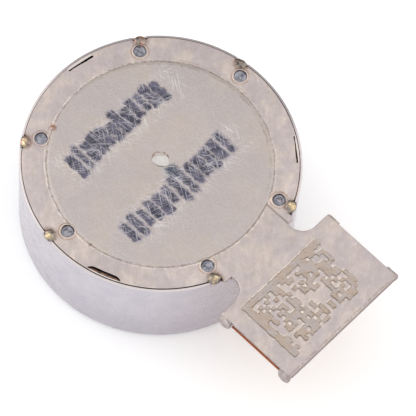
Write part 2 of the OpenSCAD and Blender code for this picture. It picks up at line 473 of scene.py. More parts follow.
class Graph:
    """A node tree, with short ways to add to it."""

    def __init__(self, tree):
        self.tree = tree

    def node(self, kind, inputs=None, **settings):
        """A new node with these settings. Its inputs are fed by name or number, and None leaves one alone."""
        made = self.tree.nodes.new(kind)
        for key, value in settings.items():
            setattr(made, key, value)
        for key, value in (inputs or {}).items():
            if value is not None:
                self.feed(made.inputs[key], value)
        return made

    def feed(self, socket, value):
        if isinstance(value, Number):
            value = value.socket
        if isinstance(value, bpy.types.NodeSocket):
            self.tree.links.new(value, socket)
        else:
            socket.default_value = (*value, 1) if socket.type == "RGBA" else value

    def vector(self, operation, a, b=None, scale=None):
        made = self.node("ShaderNodeVectorMath", {0: a, 1: b, "Scale": scale}, operation=operation)
        if operation in ("LENGTH", "DOT_PRODUCT"):
            return Number(self, made.outputs["Value"])
        return made.outputs["Vector"]

    def math(self, operation, a, b=0.0):
        return Number(self, self.node("ShaderNodeMath", {0: a, 1: b}, operation=operation).outputs[0])

    def axes(self, at):
        """The three parts of a vector or a colour."""
        return [Number(self, part) for part in self.node("ShaderNodeSeparateXYZ", {0: at}).outputs]

    def mix(self, share, a, b):
        return self.node("ShaderNodeMix", {0: share, 6: a, 7: b}, data_type="RGBA").outputs[2]

    def ramp(self, value, *stops):
        made = self.node("ShaderNodeValToRGB", {"Fac": value})
        elements = made.color_ramp.elements
        for i, (position, colour) in enumerate(stops):
            e = elements[i] if i < 2 else elements.new(position)
            e.position = position
            e.color = (*colour, 1)
        return made.outputs["Color"]


class Surface(Graph):
    """One material. Its mm socket is the place on the object in millimetres."""

    def __init__(self, name):
        self.material = bpy.data.materials.new(name)
        self.material.use_nodes = True
        super().__init__(self.material.node_tree)
        self.tree.nodes.clear()
        self.shader = self.node("ShaderNodeBsdfPrincipled")
        out = self.node("ShaderNodeOutputMaterial")
        self.tree.links.new(self.shader.outputs["BSDF"], out.inputs["Surface"])
        here = self.node("ShaderNodeTexCoord").outputs["Object"]
        self.mm = self.vector("SCALE", here, scale=1 / MM)
        self.colour = self.normal = None

    def facing(self):
        """The three parts of the direction that the face looks in."""
        return self.axes(self.node("ShaderNodeNewGeometry").outputs["True Normal"])

    def away(self, point=(0, 0, 0), scale=None, at=None):
        """The distance from a point, with each axis scaled if scale is given."""
        gap = self.vector("SUBTRACT", at or self.mm, point)
        return self.vector("LENGTH", self.vector("MULTIPLY", gap, scale) if scale else gap)

    def noise(self, scale, detail=3.0, roughness=0.5, at=None, colour=False, distortion=0.0):
        inputs = {"Scale": scale, "Detail": detail, "Roughness": roughness, "Distortion": distortion}
        made = self.node("ShaderNodeTexNoise", {"Vector": at or self.mm, **inputs})
        return made.outputs["Color"] if colour else Number(self, made.outputs["Fac"])

    def stretched(self, angle, along, across, at=None):
        """The place turned by angle degrees about Z and scaled, for streaks that run along the new X."""
        inputs = {"Rotation": (0, 0, math.radians(angle)), "Scale": (1 / along, 1 / across, 1 / across)}
        made = self.node("ShaderNodeMapping", {"Vector": at or self.mm, **inputs}, vector_type="TEXTURE")
        return made.outputs["Vector"]

    def streaks(self, angle, length, width, start, end, at=None):
        """Fine lines of about that length and width, where the noise passes from start to end."""
        return self.noise(1, 2, 0.6, self.stretched(angle, 1 / length, 1 / width, at)).fade(start, end)

    def tint(self, share, colour):
        """Mixes a colour into the surface by share."""
        self.colour = self.mix(share, self.colour, colour)

    def bump(self, height, depth):
        """Adds a bump of that depth in millimetres over the earlier ones."""
        inputs = {"Strength": 1, "Distance": depth * MM, "Height": height, "Normal": self.normal}
        self.normal = self.node("ShaderNodeBump", inputs).outputs["Normal"]

    def finish(self, **inputs):
        """Feeds the shader, whose inputs are named here in small letters, and returns the material."""
        for name, value in {"base_color": self.colour, "normal": self.normal, **inputs}.items():
            self.feed(self.shader.inputs[name.replace("_", " ").title()], value)
        return self.material


# Materials

NICKEL = (0.565, 0.485, 0.465)
NICKEL_COOL = (0.515, 0.45, 0.46)
NICKEL_WARM = (0.665, 0.57, 0.505)
NICKEL_GREY = (0.47, 0.415, 0.40)
STAIN = (0.28, 0.16, 0.09)
DARK_LINE = (0.24, 0.19, 0.15)
RUST = (0.27, 0.12, 0.065)


def clouded_nickel(g):
    """Nickel with faint clouding at several sizes."""
    g.colour = g.mix(g.noise(0.9, 4, 0.6, distortion=0.6).fade(0.38, 0.62), NICKEL_COOL, NICKEL_WARM)
    g.tint(g.noise(1, 4, 0.65, g.stretched(-50, 1.3, 3.2)).fade(0.35, 0.65) * 0.6, NICKEL_GREY)
    blots = g.noise(1, 5, 0.7, g.stretched(35, 3.4, 2.2), distortion=0.5)
    g.tint(blots.fade(0.4, 0.66, 0, 0.34), (0.42, 0.36, 0.345))
    g.tint(blots.fade(0.42, 0.3, 0, 0.26), (0.70, 0.61, 0.57))
    spots = g.noise(4.2, 4, 0.7)
    g.tint(spots.fade(0.46, 0.66, 0, 0.24), (0.43, 0.365, 0.35))
    g.tint(spots.fade(0.46, 0.32, 0, 0.2), (0.73, 0.64, 0.595))
    g.tint(g.noise(9, 3, 0.6).fade(0.3, 0.7) * 0.2, NICKEL)


def near(g, angles, radius, inner, outer, shift=0.0):
    """1 within inner of the rim's points at these angles and this radius, fading to 0 at outer."""
    turns = [math.radians(a) for a in angles]
    centres = [(radius * math.cos(t), radius * math.sin(t) + shift, RIM_Z) for t in turns]
    return most(*[g.away(c).fade(inner, outer, 1, 0) for c in centres])


def near_springs(g, inner, outer):
    return near(g, SPRING_WELD_ANGLES, SPRING_WELD_R, inner, outer, SPRING_SHIFT)


def ragged_radius(g):
    """A distance from the disc's middle that wavers, for uneven lines around it."""
    return g.away((*DISC_SHIFT, 0), FLAT) + (g.noise(6, 4, 0.8) * 0.16 - 0.08)


def edge_marks(g, share):
    """The broken dark line around the coined disc, a dark fleck on it and a rusty one."""
    radius = ragged_radius(g)
    outer = abs(radius - (DISC_R - 0.005)).fade(0.012, 0.045, 1, 0)
    outer *= g.noise(7, 4, 0.8).fade(0.42, 0.54, 0.1, 1)
    inner = abs(radius - 3.89).fade(0.01, 0.05, 1, 0)
    inner *= g.axes(g.mm)[1].fade(1.0, 3.2, 0.1, 0.75) * g.noise(3, 4, 0.7).fade(0.4, 0.6)
    fleck = g.away((0.54, -4.06, RIM_Z)).fade(0.05, 0.09, 1, 0)
    g.tint((most(outer, inner) + fleck) * share, DARK_LINE)
    rust = g.away((-3.6, -1.8, RIM_Z)).fade(0.06, 0.22, 0.9, 0)
    g.tint(rust * g.noise(10, 3, 0.7).fade(0.4, 0.56), RUST)


def sheared_and_shaded(g):
    """1 on the upright faces of the sheet: partly their duller sheared surface, partly painted shade that is
    strongest on faces looking towards +X and weaker between x 4.6 and 4.95.
    """
    x, _, z = g.facing()
    along = g.axes(g.mm)[0]
    # Less painted shade on the faces between x 4.6 and 4.95
    bright = along.fade(4.6, 4.65) * along.fade(4.95, 4.85, 0, 0.75)
    return abs(z).fade(0.45, 0.15) * x.fade(0.2, 0.7, 0.2, 1) * (1 - bright)


def plate_material():
    """Clouded nickel, with heat rings at the welds, a painted highlight around the disc and beside the slots,
    painted shade along the ears' bends, on upright faces and in the wide slot, a worn end, and hairline
    scratches.
    """
    g = Surface("plate_nickel")
    x, y, z = g.axes(g.mm)
    clouded_nickel(g)
    g.tint(near_springs(g, 0.27, 0.43) * g.noise(5, 2).fade(0.35, 0.6) * 0.25, (0.62, 0.44, 0.31))
    outline = near_springs(g, 0.325, 0.37) * (1 - near_springs(g, 0.29, 0.325))
    g.tint(outline * g.noise(6, 2).fade(0.35, 0.6, 0.15, 0.7), (0.36, 0.22, 0.15))
    heat = near(g, RIM_WELD_ANGLES, RIM_WELD_R, 0.24, 0.4)
    g.tint(heat * g.noise(7, 3, 0.6).fade(0.3, 0.6, 0.25, 1), (0.27, 0.19, 0.15))
    # Painted highlight along the low bead around the disc, stronger towards -Y
    bead_highlight = abs(ragged_radius(g) - (DISC_R + 0.05)).fade(0.01, 0.05, 1, 0)
    bead_highlight *= g.noise(5, 4, 0.75).fade(0.46, 0.58, 0, 0.85) * y.fade(0.0, 2.5, 1, 0.3)
    g.tint(bead_highlight, (0.76, 0.66, 0.585))
    edge_marks(g, 0.65)
    g.tint(g.noise(13, 1).fade(0.72, 0.78) * 0.55, STAIN)
    hairs = most(g.streaks(72, 0.9, 0.03, 0.6, 0.7), g.streaks(-38, 0.7, 0.03, 0.62, 0.72))
    g.tint(hairs * 0.2, (0.74, 0.66, 0.62))
    # Painted shade on the upright faces, over their duller sheared surface
    g.tint(sheared_and_shaded(g), (0.22, 0.17, 0.155))
    # Painted shade along the head's sides, where the ears bend down
    bend_shade = abs(y).fade(HEAD_HALF - 0.03, HEAD_HALF + 0.03) * x.fade(5.3, 5.4)
    g.tint(bend_shade * g.noise(6, 4, 0.7).fade(0.38, 0.56) * 0.78, (0.29, 0.25, 0.24))
    end = x.fade(TAB_END - 0.13, TAB_END - 0.06) * x.fade(TAB_END - 0.01, TAB_END - 0.04, 0.3, 1)
    g.tint(end * g.noise(7, 4, 0.75).fade(0.42, 0.56, 0, 0.7), (0.36, 0.28, 0.25))

    # The slots: a painted highlight on the sliver of plate outside each, and painted shade with a painted
    # coppery reflection on the punch's slope in the wide one
    outward = g.away(scale=FLAT)
    sliver_highlight = near(g, [stake[0] for stake in STAKES], 4.85, 0.45, 0.6)
    g.tint(sliver_highlight * outward.fade(4.805, 4.83, 0, 0.75), (0.78, 0.70, 0.665))
    # Painted shade in the wide slot, with a painted coppery reflection towards its outer side
    slot_shade = outward.fade(4.66, 4.7) * z.fade(RIM_Z - 0.022, RIM_Z - 0.03) * x.fade(4.5, 4.4)
    copper = g.noise(5, 3).fade(0.4, 0.6) * outward.fade(4.75, 4.79)
    g.tint(slot_shade, g.mix(copper, (0.115, 0.09, 0.085), (0.46, 0.27, 0.175)))

    g.bump(g.noise(1.8, 3, 0.55), 0.012)
    g.bump(g.noise(26, 3, 0.65) + hairs * 0.3, 0.003)
    return g.finish(metallic=1.0, roughness=g.noise(2.4, 4, 0.65).fade(0.3, 0.7, 0.28, 0.44))


def ink_row(g, x, y, middle, start, seed, count, pitch):
    """The ink and its haze for plain strokes in a row along Y, each with its own width, height and shift."""
    cell = g.math("FLOOR", g.math("DIVIDE", y - start, pitch))
    across = y - (cell * pitch + (start + pitch / 2))
    dice = g.node("ShaderNodeTexWhiteNoise", {"W": cell + seed}, noise_dimensions="1D")
    width, height, shift = g.axes(dice.outputs["Color"])
    corner = 0.1
    far_y = most(abs(across) - (width * 0.12 + (0.11 - corner)), 0.0)
    far_x = most(abs(x - (shift * 0.2 + (middle - 0.1))) - (height * 0.24 + (0.36 - corner)), 0.0)
    far = g.math("SQRT", far_x * far_x + far_y * far_y)
    within = g.math("GREATER_THAN", cell, -0.5) * g.math("LESS_THAN", cell, count - 0.5)
    ink = far.fade(corner - 0.06, corner + 0.06, 1, 0) * within
    return ink, far.fade(corner, corner + 0.16, 0.26, 0) * within


def disc_material():
    """Frosted nickel with two rows of plain ink strokes, scratched through."""
    g = Surface("frosted_disc")
    frost = g.noise(15, 4, 0.8)
    g.colour = g.mix(g.noise(0.8, 4, 0.6).fade(0.35, 0.65), (0.44, 0.395, 0.39), (0.49, 0.42, 0.375))
    g.tint(frost.fade(0.36, 0.64, 0, 0.75), (0.56, 0.50, 0.475))

    push = g.vector("SUBTRACT", g.noise(5, 4, 0.65, colour=True), (0.5, 0.5, 0.5))
    pushed = g.vector("ADD", g.mm, g.vector("SCALE", push, scale=0.3))
    x, y, _ = g.axes(pushed)
    first, first_haze = ink_row(g, x, y, -2.0, -2.45, 3.0, 12, 0.38)
    second, second_haze = ink_row(g, x, y, 1.15, -2.95, 21.0, 13, 0.405)
    blot = g.away((0.55, 0.0, DISC_Z), at=pushed).fade(0.16, 0.34, 1, 0)
    blot *= g.noise(7, 4, 0.7).fade(0.3, 0.5, 0.3, 1)
    rows = most(first, second, blot)
    by_rows = g.math("MINIMUM", abs(x + 1.95), abs(x - 1.2)).fade(0.45, 0.95, 1, 0)
    by_rows *= abs(y).fade(2.5, 3.1, 1, 0)

    lines = []
    for angle, length, seed in ((8, 0.8, 2.0), (38, 0.7, 5.0), (-32, 0.7, 8.0), (72, 0.6, 11.0)):
        at = g.vector("ADD", g.mm, (seed, seed, seed))
        lines.append(g.streaks(angle, length, 0.04, 0.57, 0.64, at) * g.noise(1.6, 2, at=at).fade(0.38, 0.52))
    lines = most(*lines)
    scratch = lines * (by_rows * 0.4 + 0.12)

    smear = g.away((0.6, -0.05, DISC_Z), (1.0, 1.5, 1)).fade(0.1, 0.55, 1, 0)
    g.tint(smear * g.noise(5, 5, 0.75).fade(0.35, 0.6, 0.2, 0.9), (0.44, 0.48, 0.52))
    around = g.away((-0.06, 0.02, DISC_Z))
    rusty = around.fade(0.24, 0.27) * around.fade(0.34, 0.3) * g.noise(9, 3, 0.7).fade(0.42, 0.56)
    g.tint(rusty * (y - x).fade(0.0, 0.15), (0.22, 0.15, 0.10))
    g.tint(lines * rows, (0.56, 0.55, 0.60))
    g.tint(scratch, (0.80, 0.77, 0.77))
    edge_marks(g, 0.6)
    g.tint(most(first_haze, second_haze), (0.24, 0.22, 0.30))
    ink = rows * g.noise(6, 5, 0.8).fade(0.24, 0.42) * (1 - lines * 0.62)
    ink_colour = g.mix(g.noise(4, 5, 0.75).fade(0.38, 0.62), (0.022, 0.021, 0.04), (0.105, 0.098, 0.15))
    g.tint(ink, g.mix(blot, ink_colour, (0.045, 0.055, 0.085)))

    g.bump(frost + scratch * -0.3, 0.004)
    g.bump(ink, 0.004)
    return g.finish(metallic=1 - ink, roughness=frost.fade(0.3, 0.7, 0.42, 0.58))


def field_material():
    """The marked field: duller, slightly olive floors under raised metal, painted shade on the sloping walls,
    and a painted highlight on the rims' crests and on the upper walls facing +X.
    """
    g = Surface("etched_field")
    z = g.axes(g.mm)[2]
    deep = z.fade(TAB_Z - 0.003, TAB_Z - 0.014)
    clouded_nickel(g)
    g.tint(deep, g.mix(g.noise(3.2, 3).fade(0.4, 0.6), (0.475, 0.385, 0.325), (0.47, 0.41, 0.385)))
    g.tint(deep * z.fade(TAB_Z - 0.024, TAB_Z - 0.012) * 0.25, (0.34, 0.27, 0.19))
    tilt_x, tilt_y, tilt_z = g.facing()
    # Painted shade: the pits' sloping walls darker
    g.tint(tilt_z.fade(0.97, 0.85, 0, 0.75) * g.noise(4, 4, 0.7).fade(0.38, 0.6, 0.1, 1), (0.27, 0.205, 0.14))
    # Painted highlight on the upper walls facing +X and on the rims' crests
    bright = (tilt_x + tilt_y * -0.4).fade(0.12, 0.4) * z.fade(TAB_Z - 0.016, TAB_Z - 0.006)
    crest = most(bright, z.fade(TAB_Z + 0.003, TAB_Z + 0.007))
    crest *= g.noise(5, 4, 0.7).fade(0.42, 0.56, 0, 0.85)
    g.tint(crest, (0.76, 0.69, 0.61))
    g.tint(g.noise(11, 1).fade(0.73, 0.79) * 0.6, STAIN)
    g.bump(g.noise(20, 3, 0.7) * (deep * 0.8 + 0.2), 0.008)
    return g.finish(metallic=1.0, roughness=deep.fade(0, 1, 0.36, 0.48) - crest * 0.12)


def can_material():
    """Drawn steel, scuffed below the rim, with painted shade towards the bottom, a painted highlight on the
    lip with painted shade on its far side, painted shade in the gap inside the lip, and heat tints by the
    welds.
    """
    g = Surface("can_steel")
    x, y, z = g.axes(g.mm)
    around = g.node("ShaderNodeCombineXYZ", {0: g.math("ARCTAN2", y, x) * CAN_R, 1: z})
    cloud = g.noise(1.3, 3, 0.5)
    g.colour = g.mix(cloud.fade(0.3, 0.7), (0.505, 0.475, 0.525), (0.555, 0.52, 0.56))
    # Painted shade: the wall darker towards the bottom
    g.tint(z.fade(2.4, 0.6, 0, 0.4), (0.44, 0.41, 0.455))
    scuff = z.fade(RIM_Z - 1.1, RIM_Z - 0.45) * z.fade(RIM_Z - 0.1, RIM_Z - 0.3)
    scuff *= g.noise(3.5, 5, 0.7).fade(0.52, 0.68)
    g.tint(scuff * 0.3, (0.44, 0.42, 0.45))
    # Painted highlight on the lip
    lip_light_and_shade = z.fade(RIM_Z - 0.06, RIM_Z - 0.02)
    g.tint(lip_light_and_shade, (0.66, 0.60, 0.585))
    pit = g.away(scale=FLAT).fade(CAN_R - 0.05, CAN_R - 0.075) * z.fade(RIM_Z - 0.05, RIM_Z - 0.09)
    shade = g.mix(g.noise(4, 3).fade(0.4, 0.65), (0.08, 0.06, 0.05), (0.40, 0.24, 0.15))
    g.tint(pit * z.fade(PLATE_Z - 0.12, PLATE_Z - 0.06), shade)
    # Painted shade on the lip's far side
    behind = g.vector("DOT_PRODUCT", g.mm, (-0.5, 0.85, 0.0))
    g.tint(lip_light_and_shade * behind.fade(1.8, 3.2), (0.38, 0.34, 0.345))
    heat = near(g, RIM_WELD_ANGLES, CAN_R, 0.16, 0.4)
    g.tint(heat * g.noise(8, 2).fade(0.3, 0.7), (0.42, 0.33, 0.34))
    g.bump(g.noise(1, 3, 0.6, g.stretched(0, 0.5, 14, around.outputs[0])), 0.0004)
    g.bump(scuff * 0.5 + cloud, 0.0012)
    return g.finish(metallic=1.0, roughness=g.noise(2, 3).fade(0.3, 0.7, 0.2, 0.3))


def metal(name, dark, light, rough, grain=20.0, depth=0.003, streak=None):
    """A plain metal with grain, and streaks along the angle streak if it is given."""
    g = Surface(name)
    g.colour = g.mix(g.noise(2.5, 4, 0.6).fade(0.3, 0.7), dark, light)
    height = g.noise(grain, 4, 0.65)
    if streak is not None:
        height += g.streaks(streak, 1.5, 0.03, 0.5, 0.7)
    g.bump(height, depth)
    return g.finish(metallic=1.0, roughness=g.noise(6, 3).fade(0.3, 0.7, rough * 0.8, rough * 1.25))


def tinted_weld_material():
    """Melted steel: a gold core that turns brown and grey outwards, partly heat tint and partly a painted
    highlight, strongest on the left and left out on the welds at the back.
    """
    g = Surface("tinted_weld")
    x, y, _ = g.axes(g.mm)
    # Heat tint in part, painted highlight in part: stronger towards -X, gone at high Y
    core = near(g, RIM_WELD_ANGLES, RIM_WELD_R - 0.02, 0.05, 0.24)
    core *= y.fade(2.9, 2.3, -0.1, 1) * x.fade(1, -1, 0.215, 0.27)
    g.colour = g.ramp(
        g.noise(4.5, 3, 0.6, distortion=1.2) * 0.85 + core,
        (0.32, (0.09, 0.07, 0.065)),
        (0.42, (0.24, 0.20, 0.185)),
        (0.51, (0.30, 0.27, 0.225)),
        (0.57, (0.44, 0.345, 0.225)),
        (0.63, (0.62, 0.47, 0.28)),
        (0.72, (0.95, 0.82, 0.56)),
    )
    g.tint(x.fade(-0.5, -1.5, 0, 0.6) * g.noise(6, 3, 0.6).fade(0.46, 0.58), (0.62, 0.33, 0.26))
    g.bump(g.noise(3.5, 3, 0.5), 0.04)
    return g.finish(metallic=1.0, roughness=g.noise(7, 2).fade(0.3, 0.7, 0.16, 0.28))


def spot_weld_material():
    g = Surface("spot_weld")
    g.colour = g.mix(g.noise(6, 3, 0.6).fade(0.35, 0.65), (0.15, 0.15, 0.175), (0.36, 0.355, 0.395))
    g.bump(g.noise(6, 3, 0.6, distortion=0.6), 0.03)
    g.bump(g.noise(30, 2), 0.003)
    return g.finish(metallic=1.0, roughness=0.28)


def film(name, dark, light, rough, coat):
    """Plastic film or cured glue."""
    g = Surface(name)
    g.colour = g.mix(g.noise(2, 4, 0.6).fade(0.3, 0.7), dark, light)
    g.bump(g.noise(14, 3, 0.6), 0.003)
    worn = g.noise(5, 3).fade(0.3, 0.7, rough * 0.8, rough * 1.3)
    return g.finish(roughness=worn, coat_weight=coat, coat_roughness=0.15)


def coil_material():
    """Enamelled copper, with painted shade between the turns."""
    g = Surface("copper_winding")
    # Painted shade between the turns: each turn lighter on top and dark where it meets the next
    lay = g.math("SINE", g.axes(g.mm)[2] * (TAU / WIRE))
    g.colour = g.mix(lay.fade(-1, 0.4), (0.22, 0.07, 0.03), (0.78, 0.36, 0.18))
    g.tint(g.noise(5, 3).fade(0.45, 0.7, 0, 0.4), (0.62, 0.24, 0.10))
    g.bump(g.noise(20, 3), 0.003)
    return g.finish(metallic=0.9, roughness=0.3, coat_weight=0.5)


def foam_material():
    g = Surface("foam")
    cells = g.node("ShaderNodeTexVoronoi", {"Vector": g.mm, "Scale": 14})
    pits = Number(g, cells.outputs["Distance"])
    g.colour = g.mix(pits.fade(0.1, 0.6), (0.02, 0.02, 0.022), (0.09, 0.09, 0.095))
    g.bump(pits, 0.02)
    return g.finish(roughness=0.9)


def tungsten_material():
    g = Surface("tungsten")
    pits = g.noise(30, 4, 0.7).fade(0.3, 0.5)
    bare = g.mix(g.noise(4, 5, 0.6), (0.20, 0.20, 0.205), (0.38, 0.375, 0.37))
    g.colour = g.mix(pits, (0.09, 0.09, 0.09), bare)
    g.bump(pits, 0.006)
    return g.finish(metallic=1.0, roughness=pits.fade(0, 1, 0.6, 0.38))


# Can


def lip_height(theta):
    """Height of the lip's crest. It is never quite level, and drops where a weld melted it."""
    top = RIM_Z - 0.004 + 0.006 * np.sin(5 * theta + 1) * np.sin(11 * theta)
    for a in RIM_WELD_ANGLES:
        top -= 0.1 * np.exp(-((from_angle(theta, a) * CAN_R / 0.2) ** 4))
    return top


def can_shell():
    """The cup: a thin lip around the base plate, cut lower at the shoulders and lowest under the neck."""
    half, wide = (math.asin((w + 0.008) / CAN_R) for w in (NECK_HALF, SHOULDER_HALF + 0.06))
    edge = math.radians(0.03)
    spans = ((wide + edge, TAU - wide - edge, 1200), (-wide, -half - edge, 9))
    spans += ((-half, half, 61), (half + edge, wide, 9))
    theta = np.concatenate([np.linspace(*span) for span in spans])
    away = np.abs(from_angle(theta, 0))
    top = np.where(away <= wide + 1e-6, PLATE_Z - 0.004, lip_height(theta))
    top = np.where(away <= half + 1e-6, FLEX_LOW - 0.05, top)

    outer, inner, floor_r = CAN_R, CAN_R - CAN_WALL, 2.0
    wall = [(floor_r, 0.0), (4.2, 0.0), *arc((outer - 0.25, 0.25), 0.25, -90, 0, 8)]
    wall += [(outer, z) for z in (1.2, 2.4, 3.4, 3.65)]
    crest = [(outer, -0.12), *arc((outer - 0.04, -0.04), 0.04, 0, 90, 5)]
    crest += [*arc((outer - LIP_T + 0.014, -0.018), 0.014, 90, 180, 5)]
    seat = [(outer - LIP_T, PLATE_Z), (inner, PLATE_Z)]
    inside = [(inner, 3.6), *arc((inner - 0.15, CAN_WALL + 0.15), 0.15, 0, -90, 5), (floor_r, CAN_WALL)]
    rows = [(r, z) for r, z in wall] + [(r, top + z) for r, z in crest]
    rows += [(r, np.minimum(z, top - 0.045)) for r, z in seat] + [(r, z) for r, z in inside]
    rows = [np.column_stack([polar(r, theta), np.broadcast_to(z, theta.shape)]) for r, z in rows]
    faces = hoops(len(rows), len(theta)) + fans(len(rows), len(theta))
    return np.vstack(rows + [[(0, 0, 0), (0, 0, CAN_WALL)]]), faces


# Base plate


def ring_outline():
    """The base plate's round edge, with its weld notches and its two shoulders beside the neck."""
    start = math.atan2(NECK_HALF, SHOULDER_X)
    theta = np.linspace(start, TAU - start, 2600)
    radius = PLATE_R + PLATE_SHIFT * np.cos(from_angle(theta, PLATE_SHIFT_ANGLE))
    shoulder = (np.cos(theta) > 0) & (np.abs(SHOULDER_X * np.tan(theta)) < SHOULDER_HALF)
    radius = np.where(shoulder, SHOULDER_X / np.cos(theta), radius)
    for a in RIM_WELD_ANGLES:
        away = from_angle(theta, a)
        under = NOTCH_R**2 - (RIM_WELD_R * np.sin(away)) ** 2
        notch = RIM_WELD_R * np.cos(away) - np.sqrt(np.maximum(under, 0))
        radius = np.where((under > 0) & (np.cos(away) > 0), np.minimum(radius, notch), radius)
    radius = np.convolve(np.pad(radius, 12, mode="edge"), bell(3.5, 12), "valid")
    # Without their neighbours, the two ends have room for the rounded edge
    loop = np.delete(polar(radius, theta), (1, 2, 3, -4, -3, -2), 0)
    under_disc = 3.85
    return np.vstack([loop, [[under_disc, -NECK_HALF], [under_disc, NECK_HALF]]])


def stake_slot(angle, middle, width, half, seed):
    """A slot through the plate near its edge, clockwise. A wide one follows the edge on its outer side."""
    x = np.linspace(-half, half, 32)
    rng = np.random.RandomState(seed)
    ends = 0.012 * np.exp(-(((np.abs(x) - half + 0.06) / 0.04) ** 2))
    taper = 1 - 0.5 * np.tanh(x / 0.15)
    low_side = middle - width / 2 * taper - ends + rng.uniform(-0.004, 0.004, len(x))
    high_side = middle + width / 2 + rng.uniform(-0.003, 0.003, len(x))
    if width > 0.1:
        high_side = np.sqrt((middle + width / 2) ** 2 - x**2)
        closing = np.clip(1 - np.abs(x / half) ** 6, 0.02, 1)
        low_side = high_side - (width + rng.uniform(0, 0.008, len(x))) * closing
    low_side[[0, -1]] = high_side[[0, -1]] = (low_side[[0, -1]] + high_side[[0, -1]]) / 2
    loop = np.vstack([np.column_stack([low_side, x])[:-1], np.column_stack([high_side, x])[:0:-1]])
    return turned(loop, angle)


def slot_wedge(angle, middle, width, half):
    """The slope that the punch left on the outer side of a wide slot."""
    rings = []
    for t in np.linspace(-1, 1, 25):
        out = math.sqrt((middle + width / 2 + 0.01) ** 2 - (t * half) ** 2)
        foot = out - width * (1 - t**6) * (0.97 + 0.06 * math.sin(5 * t + 1))
        corners = ((out, RIM_Z - 0.022), (foot, RIM_Z - 0.07), (out, RIM_Z - 0.2))
        rings.append([(r, t * half, z) for r, z in corners])
    return place(tube(rings), turn=angle)


def tab_outline():
    """The neck with its two inner curves, and the head. The neck starts under the disc's edge."""
    edge = math.degrees(math.asin(NECK_HALF / DISC_R))
    turn = HEAD_START - NECK_ROUND
    # Six points make a corner, so the roll lets the head start at its corner by the neck
    head = np.roll(block(HEAD_START, -HEAD_HALF, TAB_END, HEAD_HALF, 0.07), 6, 0)
    return np.vstack(
        [
            arc((0, 0), DISC_R, edge, -edge, 48),
            arc((turn, -NECK_HALF - NECK_ROUND), NECK_ROUND, 90, 0, 24),
            head,
            arc((turn, NECK_HALF + NECK_ROUND), NECK_ROUND, 0, -90, 24),
        ]
    )


def flared_tab():
    """The neck and the head, with the lower edge of the head's end pushed out."""
    x0, y0, x1, y1 = FIELD
    hole = np.array([[x0, y1], [x1, y1], [x1, y0], [x0, y0]])
    points, faces = sheet(tab_outline(), [hole], TAB_LOW, TAB_Z, 0.04, 5)
    lower = (points[:, 2] < TAB_Z - TAB_T / 2) & (points[:, 0] > HEAD_START)
    points[lower, 0] += TAB_FLARE * (points[lower, 0] - HEAD_START) / (TAB_END - HEAD_START)
    return points, faces


def field_patch():
    """The marked field: two channels and plain pits of no meaning, etched into the tab's face."""
    x0, y0, x1, y1 = FIELD
    step = 0.015
    nx, ny = round((x1 - x0) / step), round((y1 - y0) / step)
    x, y = np.meshgrid(np.linspace(x0, x1, nx + 1), np.linspace(y0, y1, ny + 1), indexing="ij")

    def wavering(seed):
        return 0.016 * soft_noise(x.shape, (34, 48), seed) + 0.008 * soft_noise(x.shape, (80, 110), seed + 1)

    wx, wy = x + wavering(3), y + wavering(5)
    margin, width, pit, across, along = 0.08, 0.25, 0.155, 14, 22
    left, foot = x0 + margin, y0 + margin
    channel = (wx > left) & (wx < left + width) & (wy > foot) & (wy < y1 - margin)
    channel |= (wy > foot) & (wy < foot + width) & (wx > left) & (wx < x1 - margin)
    column = np.floor((wx - left - width) / pit).astype(int)
    row = np.floor((wy - foot - width) / pit).astype(int)
    inside = (column >= 0) & (column < across) & (row >= 0) & (row < along)
    chosen = np.random.RandomState(20).uniform(0, 1, (across, along)) < 0.55
    pits = inside & chosen[np.clip(column, 0, across - 1), np.clip(row, 0, along - 1)]
    cut = (channel | pits).astype(float)
    down = blur(cut, 1.5)
    rim = np.clip(blur(cut, 3.2) - down, 0, 1)
    depth = 0.032 + 0.012 * soft_noise(x.shape, (14, 20), 9)
    z = TAB_Z - depth * down + 0.03 * rim + (0.002 + 0.004 * down) * soft_noise(x.shape, (60, 86), 8)
    for line in (z[0], z[-1], z[:, 0], z[:, -1]):
        line[:] = TAB_Z
    top = np.column_stack([x.ravel(), y.ravel(), z.ravel()])
    n, stride = len(top), ny + 1
    cells = [i * stride + j for i in range(nx) for j in range(ny)]
    faces = [(a, a + stride, a + stride + 1, a + 1) for a in cells]
    border = [i * stride for i in range(nx + 1)] + [nx * stride + j for j in range(1, ny + 1)]
    border += [i * stride + ny for i in range(nx - 1, -1, -1)] + list(range(ny - 1, 0, -1))
    bottom = top[border]
    bottom[:, 2] = TAB_LOW
    m = len(border)
    faces += [(border[k], n + k, n + (k + 1) % m, border[(k + 1) % m]) for k in range(m)]
    faces.append(tuple(range(n, n + m))[::-1])
    return np.vstack([top, bottom]), faces


def disc_bead():
    """Metal that coining pushed up in an uneven low bead around the disc."""
    inner, outer = DISC_R - 0.01, DISC_R + 0.09
    profile = raised(RIM_Z, (inner, -0.03), (outer, -0.03), (outer, -0.001), (outer - 0.025, 0.005))
    profile += raised(RIM_Z, (inner + 0.035, 0.007), (inner + 0.012, -0.002))
    points, faces = spin(profile, 720, closed=True)
    _, turn = cylinder(points)
    wave = np.sin(3 * turn + 1) * np.sin(7 * turn) + 0.6 * np.sin(31 * turn) * np.sin(53 * turn + 2)
    above = points[:, 2] > RIM_Z
    points[above, 2] += 0.004 * wave[above]
    points[:, :2] += DISC_SHIFT
    return clear_welds(points), faces


